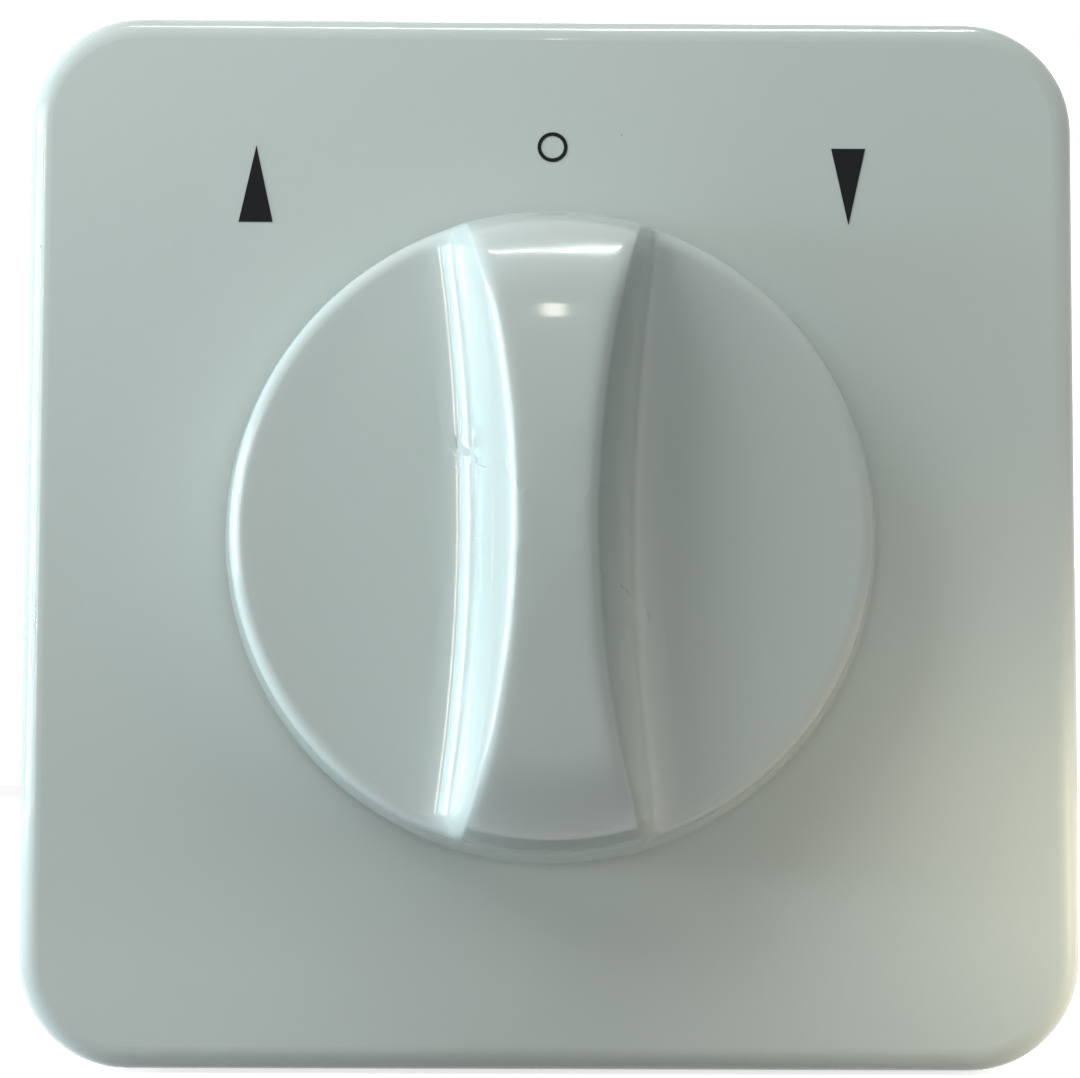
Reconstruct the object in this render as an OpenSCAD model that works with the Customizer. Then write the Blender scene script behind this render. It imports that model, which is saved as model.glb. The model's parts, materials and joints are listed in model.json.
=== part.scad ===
// Roller shutter switch for a wall box: a square cover plate with a rotary knob for up, off and down.
// The origin lies on the wall plane, on the axis of the knob. The front faces -Y and up is +Z.
// Every sub-part is drawn in the switch's front frame, with X to the right, Y up and Z away from
// the wall, and face_front() turns that frame into the wall frame.

/* [Cover plate] */
// Width and height of the square cover plate
plate_w = 80; // [78:0.5:90]
// Radius of the plate's corners seen from the front
plate_corner_r = 8.4; // [6:0.2:12]
// Distance from the wall to the plate's front face
plate_h = 9; // [8.6:0.2:12]
// Thickness of the plate's side walls
plate_wall = 2; // [1.6:0.1:2.4]
// Thickness of the plate's front wall
plate_front_t = 2; // [1.8:0.1:2.2]
// Radius of the rounding between the front and the sides
plate_edge_r = 1.8; // [1:0.1:2]

/* [Marks] */
// Distance from the knob's rim to the centre of the off mark
mark_gap = 5.3; // [3:0.1:8]
// Height of the two triangles
mark_h = 5.9; // [4:0.1:7]
// Width of the two triangles at their base
mark_w = 2.6; // [2:0.1:4]
// Outer diameter of the off mark
ring_mark_d = 2.3; // [1.8:0.1:3]
// Width of the off mark's line
ring_mark_line = 0.28; // [0.2:0.02:0.5]
// Thickness of the printed film
print_t = 0.05; // [0.03:0.01:0.1]

/* [Knob form] */
// Diameter of the knob at its bottom edge
knob_d = 49.2; // [46:0.2:54]
// Angle by which the knob's side leans inwards
knob_draft = 8.5; // [6:0.5:13]
// Gap between the plate and the underside of the knob
knob_gap = 0.5; // [0.3:0.1:1]
// Height of the two lobes at the rim
lobe_h = 6.5; // [6:0.1:8]
// Depth of the shallow dish in the lobes
lobe_dish = 0.4; // [0:0.1:0.8]
// Height of the grip ridge at its middle
ridge_h = 16; // [14:0.5:19]
// Drop of the ridge's top from its middle to its ends
ridge_crown = 3.4; // [1:0.1:4]
// Width of the ridge's top at the waist, between its rounded edges
waist_w = 4.2; // [4:0.1:6]
// Width between the feet of the ridge at the waist, with the fillets
foot_w = 16; // [15:0.2:18]
// Radius of the ridge's top edges seen from the front
top_plan_r = 80; // [75:5:200]
// Radius of the ridge's feet seen from the front
foot_plan_r = 120; // [100:5:180]
// Radius between the ridge's top and its walls
ridge_edge_r = 1.25; // [0.9:0.05:1.6]
// Radius of the fillet between the ridge's walls and the lobes
ridge_foot_r = 2.8; // [1.2:0.1:3]
// Radius of the rounded rim at the lobes
rim_r = 1.3; // [1:0.05:2]
// Radius of the rounded rim at the ends of the ridge
ridge_end_r = 7; // [4:0.1:7.5]
// Bevel at the bottom edge of the knob
knob_bevel = 0.3; // [0.1:0.1:0.6]

/* [Knob inside] */
// Wall thickness of the knob
knob_wall = 1.8; // [1.6:0.1:2]
// Outer diameter of the knob's hub
hub_d = 13; // [11:0.5:15]
// Length of the hub that dips into the plate's hole
hub_dip = 2.3; // [1:0.1:2.5]
// Depth of the hub's socket above the knob's underside
socket_depth = 11; // [9:0.5:12.5]
// Half the width of the pocket inside the ridge
ridge_pocket_half = 2.2; // [1.6:0.1:2.4]

/* [Turning parts] */
// Angle that the knob turns to each side
turn_angle = 40; // [34:1:44]
// Diameter of the spindle
spindle_d = 6; // [5:0.1:6.4]
// Distance from the spindle's axis to its flat
spindle_flat = 2.2; // [2:0.1:2.4]
// Diameter of the spindle's tail pivot
pivot_d = 4; // [3:0.1:4.4]
// Radius of the detent wheel
wheel_r = 9; // [8.5:0.1:9.6]
// Thickness of the detent wheel
wheel_t = 5; // [4:0.2:6]
// Radius of the detent notches
notch_r = 1.6; // [1.2:0.1:1.8]
// Width of the wheel's stop lug
lug_w = 3; // [2:0.2:4]
// Length of the stop lug beyond the wheel's rim
lug_out = 3; // [2.4:0.2:3.6]
// Radius of the drum's flange
drum_r = 8; // [7.5:0.1:8.5]
// Thickness of the drum's flange
drum_t = 6; // [5:0.2:7]
// Radius of the drum's neck
neck_r = 4.5; // [4:0.1:4.8]

/* [Contacts and terminals] */
// Thickness of the contact strips
strip_t = 1; // [0.8:0.1:1.2]
// Outer radius of the moving contact's washer
washer_r = 8.5; // [8:0.1:9]
// Reach of the moving contact's finger from the axis
finger_reach = 13.5; // [12:0.1:14]
// Width of the moving contact's finger
finger_w = 4; // [3:0.2:5]
// Axial gap between the moving contact and the fixed contacts
contact_gap = 0.2; // [0.1:0.05:0.3]
// Width of the terminal blocks
block_w = 7; // [6:0.2:7.6]
// Height of the terminal blocks
block_h = 7.8; // [7:0.2:8.6]
// Diameter of the wire bore in a terminal block
wire_bore_d = 3.2; // [2.4:0.1:3.4]
// Depth of the wire bore
wire_bore_len = 6; // [4:0.2:6.6]
// Diameter of a clamping screw
clamp_screw_d = 3; // [2.5:0.1:3.4]
// Head diameter of a clamping screw
clamp_head_d = 4.8; // [4:0.1:5.4]

/* [Base and bridge] */
// Width of the square base in the wall box
base_w = 46; // [44:0.5:50]
// Side wall thickness of the base
base_wall = 2; // [1.5:0.1:2.2]
// Floor thickness of the base
base_floor_t = 2.5; // [2:0.1:3]
// Corner radius of the base
base_corner_r = 3; // [2:0.2:4]
// Width of the four corner pillars
pillar_w = 6; // [5:0.2:6.4]
// Thickness of the bridge plate
bridge_t = 2; // [1.6:0.1:2.4]
// Outer diameter of the spindle's bearing boss
boss_d = 11; // [9:0.2:12]
// Gap between the retaining clip and the knob's hub
hub_gap = 0.7; // [0.4:0.1:1.2]
// Diameter of the posts for the plate screws
post_d = 6.8; // [6:0.1:7]
// Gap between a post and the support ring's opening
post_gap = 0.6; // [0.4:0.1:1.4]
// Height of the boss that bears the spindle's tail
tail_boss_h = 3.4; // [2.6:0.2:4.6]

/* [Support ring] */
// Distance from the sides of the plate to the sides of the square support ring
ring_inset = 4.5; // [3.5:0.5:6]
// Thickness of the support ring
ring_t = 1; // [0.8:0.1:1.5]
// Width of the seat between the ring's opening and the side of the base
ring_seat = 3; // [2.2:0.1:3.1]
// Distance from a wall box screw to the side of the ring
box_screw_inset = 5.5; // [5:0.1:6.5]
// Width of the slots for the wall box screws
slot_w = 3.6; // [3.4:0.1:4.2]
// Length of the slots for the wall box screws, from end to end
slot_len = 6.6; // [5:0.2:7]

/* [Fasteners and fits] */
// Diameter of the plate screws
plate_screw_d = 3; // [2.5:0.1:3.2]
// Length of the plate screws
plate_screw_len = 8.4; // [6:0.2:8.6]
// Diameter of the ring screws
ring_screw_d = 2.5; // [2:0.1:3]
// Length of the ring screws under the head
ring_screw_len = 10; // [7:0.5:16]
// Radial running clearance of the bearings
bearing_clear = 0.05; // [0.03:0.01:0.08]
// Clearance of seated pieces on each side
seat_clear = 0.03; // [0.02:0.01:0.06]
// Clearance of pieces that only pass through
pass_clear = 0.2; // [0.1:0.05:0.3]
// Axial play between stacked pieces
play = 0.3; // [0.2:0.05:0.4]

/* [Hidden] */
$fn = 72;
TERMINALS = ["up", "down", "common"];

// Small amount by which a cutter passes the face that it opens
eps = 0.01;

// Levels along the front frame's Z, counted from the wall plane
plate_back = plate_h - plate_front_t;
knob_z = plate_h + knob_gap;
hub_bottom = knob_z - hub_dip;
bridge_bottom = -bridge_t;
wheel_top = bridge_bottom - play;
wheel_bottom = wheel_top - wheel_t;
drum_top = wheel_bottom - pass_clear;
drum_bottom = drum_top - drum_t;
moving_bottom = drum_bottom - strip_t;
fixed_top = moving_bottom - contact_gap;
fixed_bottom = fixed_top - strip_t;
floor_top = fixed_bottom - block_h;
base_depth = base_floor_t - floor_top;
tail_boss_top = floor_top + tail_boss_h;
shoulder_z = tail_boss_top + play;
neck_bottom = shoulder_z + play;

// Cover plate
plate_arc_at = plate_w / 2 - plate_corner_r;
plate_hole_r = hub_d / 2 + 2 * pass_clear;
csk_r = plate_screw_d;
csk_h = csk_r - plate_screw_d / 2;

// Marks
knob_r = knob_d / 2;
mark_top_y = knob_r + mark_gap;
mark_mid_y = mark_top_y - mark_h / 2;
mark_x = mark_mid_y * tan(turn_angle);

// Spindle
spindle_r = spindle_d / 2;
pivot_r = pivot_d / 2;
spindle_top = knob_z + socket_depth - play;
tail_boss_wall = 2.5;
tail_boss_r = pivot_r + tail_boss_wall;
pivot_bottom = floor_top + play;
groove_depth = 0.6;
groove_r = spindle_r - groove_depth;
clip_t = 0.7;
clip_bottom = hub_bottom - hub_gap - clip_t;
boss_h = clip_bottom - play;
clip_out = 1.9;
clip_r = spindle_r + clip_out;
// The clip's mouth is narrower than the groove, so that it snaps on
clip_mouth = 1.7 * groove_r;

// Spring strip between the spindle's flat and the knob's hub
knob_clip_t = 0.4;
knob_clip_w = 3.2;
knob_clip_len = 8;
knob_clip_z = 1;
knob_clip_bow = 0.3;

// Inside of the base and its pillars
inner_half = base_w / 2 - base_wall;
pillar_at = inner_half - pillar_w / 2;
pillar_face = inner_half - pillar_w;

// Detent
notch_out = 0.9;
notch_at = wheel_r + notch_out;
nose_clear = 0.15;
nose_r = notch_r - nose_clear;
spring_t = 0.4;
spring_inset = 0.5;
spring_w = wheel_t - 2 * spring_inset;
spring_y = notch_at + nose_r;
spring_half = pillar_face - 2 * pass_clear;
seat_w = 3;
seat_at = spring_half - seat_w / 2;
seat_wall = 1.5;
stop_pin_r = 1.5;
stop_at = wheel_r + lug_out / 2 + pass_clear;
// Angle by which the lug stops short of the pin at the end of its turn
stop_spare = 0.5;
stop_angle = turn_angle + asin((lug_w / 2 + stop_pin_r + seat_clear) / stop_at) + stop_spare;

// Contact drum and common contact
neck_flat_depth = 0.6;
neck_flat = neck_r - neck_flat_depth;
common_clear = 0.8;
common_r = neck_r + common_clear;

// Terminals
nest_wall = 0.9;
nest_w = block_w + 2 * (seat_clear + nest_wall);
nest_gap = 2.57;
block_at = inner_half - nest_w / 2;
block_side_y = pillar_face - nest_gap - nest_w / 2;
nest_h = 4.5;
wire_entry_r = wire_bore_d / 2 + 2 * pass_clear;
clamp_up = 3.4;
clamp_z = floor_top + clamp_up;
clamp_tip_gap = 0.1;
clamp_tip = wire_bore_d / 2 + clamp_tip_gap;
clamp_head_h = 2;
pad_r = finger_w / 2;
pad_at = finger_reach - pad_r;

// Ring and screws
ring_w = plate_w - 2 * ring_inset;
box_screw_x = ring_w / 2 - box_screw_inset;
ring_open_r = base_w / 2 - ring_seat;
plate_screw_x = ring_open_r - post_gap - post_d / 2;
ring_corner_r = 3;
screw_head_h = 1.3;
screw_head_out = 1.05;
screw_head_r = ring_screw_d / 2 + screw_head_out;
drive_w = 0.6;
drive_depth = 0.5;

// Turns the front frame into the wall frame
module face_front() {
    rotate([90, 0, 0]) children();
}

// Square with rounded corners, centred
module rounded_square(w, r) {
    square([w, w - 2 * r], center = true);
    square([w - 2 * r, w], center = true);
    for (x = [-1, 1], y = [-1, 1]) {
        translate([x * (w / 2 - r), y * (w / 2 - r)]) circle(r);
    }
}

// Copies its children to the four corners of a square
module at_corners(half) {
    for (x = [-1, 1], y = [-1, 1]) {
        translate([x * half, y * half, 0]) children();
    }
}

// Copies its children to the left and the right side
module at_sides(x) {
    for (side = [-1, 1]) translate([side * x, 0, 0]) children();
}

// D-shaped section of the spindle or of a bore on it, with the flat towards +Y
module d_section(grow) {
    difference() {
        circle(spindle_r + grow);
        translate([-spindle_d, spindle_flat + grow]) square([2 * spindle_d, spindle_d]);
    }
}

// Section of the plate's shell, from the corner's axis outwards and from the wall to the front
module plate_section() {
    difference() {
        union() {
            square([plate_corner_r, plate_h - plate_edge_r]);
            square([plate_corner_r - plate_edge_r, plate_h]);
            translate([plate_corner_r - plate_edge_r, plate_h - plate_edge_r]) circle(plate_edge_r);
        }
        translate([-eps, -eps]) square([plate_corner_r - plate_wall + eps, plate_back + eps]);
    }
}

module plate_shell() {
    for (turn = [0 : 90 : 270]) rotate([0, 0, turn]) translate([plate_arc_at, plate_arc_at, 0]) {
        rotate_extrude(angle = 90) plate_section();
        rotate([90, 0, 0]) linear_extrude(2 * plate_arc_at) plate_section();
    }
    translate([-plate_arc_at, -plate_arc_at, plate_back])
        cube([2 * plate_arc_at, 2 * plate_arc_at, plate_front_t]);
}

module cover_plate() {
    color("#dfe6e4") face_front() difference() {
        plate_shell();
        translate([0, 0, plate_back - 1]) cylinder(r = plate_hole_r, h = plate_front_t + 2);
        at_sides(plate_screw_x) {
            translate([0, 0, plate_back - 1])
                cylinder(r = plate_screw_d / 2 + pass_clear, h = plate_front_t + 2);
            translate([0, 0, plate_h - csk_h])
                cylinder(r1 = csk_r - csk_h + pass_clear, r2 = csk_r + pass_clear + eps, h = csk_h + eps);
        }
    }
}

// Triangle with its base down
module mark_triangle() {
    polygon([[-mark_w / 2, -mark_h / 2], [mark_w / 2, -mark_h / 2], [0, mark_h / 2]]);
}

module up_mark() {
    color("#101214") face_front() translate([-mark_x, mark_mid_y, plate_h])
        linear_extrude(print_t) mark_triangle();
}

module off_mark() {
    color("#101214") face_front() translate([0, mark_top_y, plate_h]) linear_extrude(print_t)
        difference() {
            circle(d = ring_mark_d);
            circle(d = ring_mark_d - 2 * ring_mark_line);
        }
}

module down_mark() {
    color("#101214") face_front() translate([mark_x, mark_mid_y, plate_h])
        linear_extrude(print_t) rotate([0, 0, 180]) mark_triangle();
}

// The knob's outer form is a height field. Its grid has nested boxes round the middle, whose sides
// follow the ridge's walls, and then rings that spread out to the rim. Columns run from the middle
// to the rim along the ridge's edges and walls, and fan out over the lobes.
wall_rise = ridge_h - lobe_h;
wall_round = ridge_edge_r + ridge_foot_r;
top_columns = 4;
wall_lines = 8;
lobe_columns = 14;
last_line = top_columns + wall_lines - 1;
quarter_columns = last_line + lobe_columns;
ring_columns = 4 * quarter_columns;
box_rings = 1 + wall_lines;
box_half_h = 7;
floor_rings = 8;
rim_rings = 6;
form_rings = box_rings + floor_rings + rim_rings;
rim_sweep = 90 - knob_draft;

function mix(a, b, share) = a + (b - a) * share;
function plan_x(half, plan_r, y) = half + plan_r - sqrt(plan_r * plan_r - y * y);
function top_x(y) = plan_x(waist_w / 2, top_plan_r, y);
function wall_run(y) = plan_x(foot_w / 2, foot_plan_r, y) - top_x(y);

// Steepest slope of the ridge's wall, where both its roundings meet its straight part
function wall_angle(y) = let (run = wall_run(y), rise = wall_rise - wall_round)
    atan2(rise, run) + asin(wall_round / norm([run, rise]));

// Distance of each of the wall's eight lines from the top edge
function line_out(line, y) = let (a = wall_angle(y))
    line < 4 ? ridge_edge_r * sin(a * line / 3) : wall_run(y) - ridge_foot_r * sin(a * (7 - line) / 3);

// Height of the wall as a share of its rise, at a distance out from the top edge
function wall_share(out, y) = let (
        a = wall_angle(y),
        run = wall_run(y),
        upper = ridge_edge_r * sin(a),
        lower = run - ridge_foot_r * sin(a),
        upper_share = 1 - ridge_edge_r * (1 - cos(a)) / wall_rise,
        lower_share = ridge_foot_r * (1 - cos(a)) / wall_rise)
    out <= 0 ? 1
    : out < upper ? 1 - (ridge_edge_r - sqrt(pow(ridge_edge_r, 2) - out * out)) / wall_rise
    : out < lower ? mix(upper_share, lower_share, (out - upper) / (lower - upper))
    : out < run ? (ridge_foot_r - sqrt(pow(ridge_foot_r, 2) - pow(run - out, 2))) / wall_rise
    : 0;

// X of a column up to the ridge's foot, at a height y
function column_x(c, y) = c <= top_columns ? top_x(y) * c / top_columns
    : top_x(y) + line_out(c - top_columns, y);

// Y at which such a column crosses a circle, found by stepping towards the crossing
function crossing_y(c, r, y, steps) = let (x = column_x(c, y))
    steps == 0 ? y : crossing_y(c, r, sqrt(r * r - x * x), steps - 1);

// Point of a column on a circle near the rim
function circle_point(c, r) = let (
        y = crossing_y(min(c, last_line), r, r, 5),
        foot_angle = acos(y / r),
        a = mix(foot_angle, 90, (c - last_line) / lobe_columns))
    c <= last_line ? [column_x(c, y), y] : [r * sin(a), r * cos(a)];

// Point of a column on nested box j. Its corner lies on a column, and the columns beyond the
// corner are spread down its side.
function box_point(c, j) = let (
        top = box_half_h * j / box_rings,
        corner = j == 1 ? top_columns / 2 : top_columns + j - 2,
        y = top * (quarter_columns - c) / (quarter_columns - corner))
    c <= corner ? [column_x(c, top), top] : [column_x(corner, y), y];

// Share of the ridge's rise, height and rounding that a column has at the rim
function column_share(c) = c <= top_columns ? 1
    : c < last_line ? wall_share(line_out(c - top_columns, knob_r), knob_r)
    : 0;
function rim_height(c) = mix(lobe_h, ridge_h - ridge_crown, column_share(c));
function rim_round(c) = mix(rim_r, ridge_end_r, column_share(c));

// Radius at which the rounding to the rim starts, above the knob's drafted side
function rim_start(c) = knob_r - (rim_height(c) - rim_round(c)) * tan(knob_draft) - rim_round(c) / cos(knob_draft);

function rim_drop(c, r) = let (out = max(0, r - rim_start(c)))
    rim_round(c) - sqrt(max(0, pow(rim_round(c), 2) - out * out));

function top_height(p) = mix(
    lobe_h - lobe_dish * (1 - pow(norm(p) / knob_r, 2)),
    ridge_h - ridge_crown * pow(p.y / knob_r, 2),
    wall_share(p.x - top_x(p.y), p.y));

// Point of the form's first quarter in column c and on ring j
function quarter_point(c, j) = let (
        rim_step = j - box_rings - floor_rings,
        r = rim_start(c) + rim_round(c) * sin(rim_sweep * rim_step / rim_rings),
        start = circle_point(c, rim_start(c)),
        inner = box_point(c, box_rings),
        share = (j - box_rings) / floor_rings,
        y = mix(inner.y, start.y, share),
        p = j <= box_rings ? box_point(c, j)
            : rim_step > 0 ? circle_point(c, r)
            : c <= last_line ? [column_x(c, y), y]
            : mix(inner, start, share))
    [p.x, p.y, top_height(p) - rim_drop(c, norm(p))];

// The whole ring from mirrored quarters, clockwise from +Y
function ring_quarter(i) = floor(i / quarter_columns);
function ring_column(i) = let (k = i % quarter_columns) ring_quarter(i) % 2 == 0 ? k : quarter_columns - k;
function place_quarter(i, p) = let (q = ring_quarter(i))
    [q < 2 ? p.x : -p.x, q == 0 || q == 3 ? p.y : -p.y, p.z];
function form_point(i, j) = place_quarter(i, quarter_point(ring_column(i), j));

// Point at the foot of the knob's side, at a radius and a height
function side_point(i, r, z) = let (p = circle_point(ring_column(i), r)) place_quarter(i, [p.x, p.y, z]);

module knob_form() {
    points = concat(
        [[0, 0, ridge_h]],
        [for (j = [1 : form_rings], i = [0 : ring_columns - 1]) form_point(i, j)],
        [for (i = [0 : ring_columns - 1]) side_point(i, knob_r - knob_bevel * tan(knob_draft), knob_bevel)],
        [for (i = [0 : ring_columns - 1]) side_point(i, knob_r - knob_bevel, 0)]);
    rings = form_rings + 2;
    faces = concat(
        [for (i = [0 : ring_columns - 1]) [0, 1 + i, 1 + (i + 1) % ring_columns]],
        [for (j = [0 : rings - 2], i = [0 : ring_columns - 1], half = [0, 1])
            let (a = 1 + j * ring_columns + i,
                d = 1 + j * ring_columns + (i + 1) % ring_columns,
                b = a + ring_columns,
                e = d + ring_columns)
            half == 0 ? [a, b, e] : [a, e, d]],
        [[for (i = [ring_columns - 1 : -1 : 0]) 1 + (rings - 1) * ring_columns + i]]);
    polyhedron(points, faces);
}

module knob() {
    pocket_h = lobe_h - lobe_dish - knob_wall;
    pocket_r = knob_r - lobe_h * tan(knob_draft) - knob_wall;
    ridge_pocket_start = hub_d / 2 + knob_wall;
    ridge_pocket_end = knob_r - ridge_h * tan(knob_draft) - ridge_end_r;
    ridge_pocket_h = ridge_h - ridge_crown * pow(ridge_pocket_end / knob_r, 2) - knob_wall;
    color("#dfe6e4") face_front() translate([0, 0, knob_z]) difference() {
        union() {
            difference() {
                knob_form();
                translate([0, 0, -eps]) difference() {
                    cylinder(r = pocket_r, h = pocket_h + eps);
                    translate([0, 0, -eps]) cylinder(r = hub_d / 2, h = pocket_h + 3 * eps);
                }
                for (end = [0, 180]) rotate([0, 0, end])
                    translate([-ridge_pocket_half, ridge_pocket_start, -eps]) cube([2 * ridge_pocket_half,
                        ridge_pocket_end - ridge_pocket_start, ridge_pocket_h + eps]);
            }
            translate([0, 0, -hub_dip]) cylinder(r = hub_d / 2, h = hub_dip + pocket_h);
        }
        translate([0, 0, -hub_dip - eps]) linear_extrude(hub_dip + socket_depth + eps) d_section(bearing_clear);
        translate([-knob_clip_w / 2 - seat_clear, 0, -hub_dip - eps]) cube([knob_clip_w + 2 * seat_clear,
            spindle_flat + knob_clip_t + knob_clip_bow + 2 * seat_clear,
            hub_dip + knob_clip_z + knob_clip_len + seat_clear]);
    }
}

module knob_clip() {
    color("#8d9296") face_front() translate([-knob_clip_w / 2, spindle_flat + seat_clear, knob_z + knob_clip_z])
        rotate([90, 0, 90]) linear_extrude(knob_clip_w) polygon([
            [0, 0], [knob_clip_t, 0], [knob_clip_t + knob_clip_bow, knob_clip_len / 2],
            [knob_clip_t, knob_clip_len], [0, knob_clip_len], [knob_clip_bow, knob_clip_len / 2]]);
}

// Slot for a screwdriver across a screw head of diameter d, cut down from z = 0
module driver_slot(d) {
    translate([-d / 2 - 1, -drive_w / 2, -drive_depth]) cube([d + 2, drive_w, drive_depth + 1]);
}

module plate_screws() {
    color("#a9adb0") face_front() at_sides(plate_screw_x) translate([0, 0, plate_h - seat_clear])
        difference() {
            union() {
                translate([0, 0, -csk_h]) cylinder(r1 = plate_screw_d / 2, r2 = csk_r, h = csk_h);
                translate([0, 0, -plate_screw_len]) cylinder(d = plate_screw_d, h = plate_screw_len - csk_h);
            }
            driver_slot(2 * csk_r);
        }
}

module support_ring() {
    color("#b5b9ba") face_front() linear_extrude(ring_t) difference() {
        rounded_square(ring_w, ring_corner_r);
        circle(ring_open_r);
        at_sides(box_screw_x) {
            square([slot_len - slot_w, slot_w], center = true);
            for (end = [-1, 1]) translate([end * (slot_len - slot_w) / 2, 0]) circle(d = slot_w);
        }
        at_corners(pillar_at) circle(ring_screw_d / 2 + pass_clear);
    }
}

module ring_screws() {
    color("#a9adb0") face_front() at_corners(pillar_at) translate([0, 0, ring_t]) difference() {
        union() {
            cylinder(r = screw_head_r, h = screw_head_h);
            translate([0, 0, -ring_screw_len]) cylinder(d = ring_screw_d, h = ring_screw_len + eps);
        }
        translate([0, 0, screw_head_h]) driver_slot(2 * screw_head_r);
    }
}

// Seat block for one end of the detent spring, below the bridge
module spring_seat() {
    translate([-seat_w / 2, spring_y - seat_wall, wheel_bottom]) difference() {
        cube([seat_w, spring_t + 2 * seat_wall, -bridge_t - wheel_bottom + eps]);
        translate([-1, seat_wall - seat_clear, -1]) cube([seat_w + 2, spring_t + 2 * seat_clear,
            wheel_t - spring_inset + seat_clear + 1]);
    }
}

module bearing_bridge() {
    color("#5c6063") face_front() difference() {
        union() {
            translate([0, 0, bridge_bottom]) linear_extrude(bridge_t) difference() {
                square(2 * (inner_half - seat_clear), center = true);
                at_corners(pillar_at) circle(ring_screw_d / 2 + pass_clear);
            }
            cylinder(d = boss_d, h = boss_h);
            at_sides(plate_screw_x) cylinder(d = post_d, h = plate_back);
            for (side = [-1, 1]) rotate([0, 0, side * stop_angle - 90])
                translate([stop_at, 0, wheel_bottom]) cylinder(r = stop_pin_r, h = -bridge_t - wheel_bottom + eps);
            at_sides(seat_at) spring_seat();
        }
        translate([0, 0, bridge_bottom - 1]) cylinder(r = spindle_r + bearing_clear, h = bridge_t + boss_h + 2);
        at_sides(plate_screw_x) translate([0, 0, plate_h - plate_screw_len - 1])
            cylinder(r = plate_screw_d / 2 + seat_clear, h = plate_screw_len);
    }
}

// Turns its children to the three terminals: left, right and bottom. Inside, -X points outwards.
module at_terminal(name) {
    if (name == "up") translate([-block_at, block_side_y, 0]) children();
    if (name == "down") translate([block_at, block_side_y, 0]) rotate([0, 0, 180]) children();
    if (name == "common") translate([0, -block_at, 0]) rotate([0, 0, 90]) children();
}

module switch_base() {
    color("#e8e6de") face_front() difference() {
        union() {
            difference() {
                translate([0, 0, -base_depth]) linear_extrude(base_depth) rounded_square(base_w, base_corner_r);
                translate([-inner_half, -inner_half, floor_top]) cube([2 * inner_half, 2 * inner_half, base_depth]);
            }
            at_corners(pillar_at) translate([-pillar_w / 2 - eps, -pillar_w / 2 - eps, floor_top - eps])
                cube([pillar_w + 2 * eps, pillar_w + 2 * eps, -bridge_t - floor_top + eps]);
            translate([0, 0, floor_top - eps]) cylinder(r = tail_boss_r, h = tail_boss_top - floor_top + eps);
            for (name = TERMINALS) at_terminal(name) terminal_nest();
        }
        translate([0, 0, floor_top]) cylinder(r = pivot_r + bearing_clear, h = base_depth);
        at_corners(pillar_at) translate([0, 0, ring_t - ring_screw_len - 1])
            cylinder(r = ring_screw_d / 2 + seat_clear, h = ring_screw_len + 1);
        for (name = TERMINALS) at_terminal(name) {
            translate([0, 0, -base_depth - 1]) cylinder(r = wire_entry_r, h = base_floor_t + 2);
            translate([0, 0, clamp_z]) rotate([0, -90, 0])
                cylinder(r = clamp_head_d / 2 + pass_clear, h = base_w / 2 - block_at + 1);
        }
    }
}

// Low wall on the base's floor that holds a terminal block
module terminal_nest() {
    translate([0, 0, floor_top - eps]) linear_extrude(nest_h + eps) difference() {
        square(nest_w, center = true);
        square(block_w + 2 * seat_clear, center = true);
    }
}

module spindle() {
    color("#c3c6c8") face_front() difference() {
        union() {
            translate([0, 0, shoulder_z]) cylinder(r = spindle_r, h = spindle_top - shoulder_z);
            translate([0, 0, pivot_bottom]) cylinder(r = pivot_r, h = shoulder_z - pivot_bottom + eps);
        }
        translate([-spindle_d, spindle_flat, shoulder_z - 1])
            cube([2 * spindle_d, spindle_d, bridge_bottom - shoulder_z + 1]);
        translate([-spindle_d, spindle_flat, hub_bottom - play])
            cube([2 * spindle_d, spindle_d, spindle_top - hub_bottom + play + 1]);
        translate([0, 0, clip_bottom - seat_clear]) difference() {
            cylinder(r = spindle_r + 1, h = clip_t + 2 * seat_clear);
            translate([0, 0, -1]) cylinder(r = groove_r, h = clip_t + 3);
        }
    }
}

module retaining_clip() {
    color("#8d9296") face_front() translate([0, 0, clip_bottom]) linear_extrude(clip_t) difference() {
        circle(clip_r);
        circle(groove_r + seat_clear);
        translate([-clip_mouth / 2, -clip_r - 1]) square([clip_mouth, clip_r + 1]);
    }
}

module detent_wheel() {
    color("#f0f0ec") face_front() translate([0, 0, wheel_bottom]) linear_extrude(wheel_t) difference() {
        union() {
            circle(wheel_r);
            translate([-lug_w / 2, -wheel_r - lug_out]) square([lug_w, wheel_r]);
        }
        for (turn = [-turn_angle, 0, turn_angle]) rotate([0, 0, turn]) translate([0, notch_at]) circle(notch_r);
        d_section(seat_clear);
    }
}

module detent_spring() {
    color("#8d9296") face_front() translate([0, 0, wheel_bottom + (wheel_t - spring_w) / 2])
        linear_extrude(spring_w) difference() {
            union() {
                translate([-spring_half, spring_y]) square([2 * spring_half, spring_t]);
                nose_section(nose_r);
            }
            nose_section(nose_r - spring_t);
        }
}

// Outline of the spring's nose, a half circle with straight legs up to the back of the strip
module nose_section(r) {
    translate([0, notch_at]) circle(r);
    translate([-r, notch_at]) square([2 * r, spring_y + spring_t - notch_at]);
}

module contact_drum() {
    color("#3f4346") face_front() difference() {
        union() {
            translate([0, 0, drum_bottom]) cylinder(r = drum_r, h = drum_top - drum_bottom);
            translate([0, 0, neck_bottom]) linear_extrude(drum_bottom - neck_bottom + eps) neck_section(0);
        }
        translate([0, 0, neck_bottom - 1]) linear_extrude(drum_top - neck_bottom + 2) d_section(seat_clear);
    }
}

// Drum's neck, with two flats that carry the moving contact round
module neck_section(grow) {
    intersection() {
        circle(neck_r + grow);
        square([2 * (neck_flat + grow), 4 * neck_r], center = true);
    }
}

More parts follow.
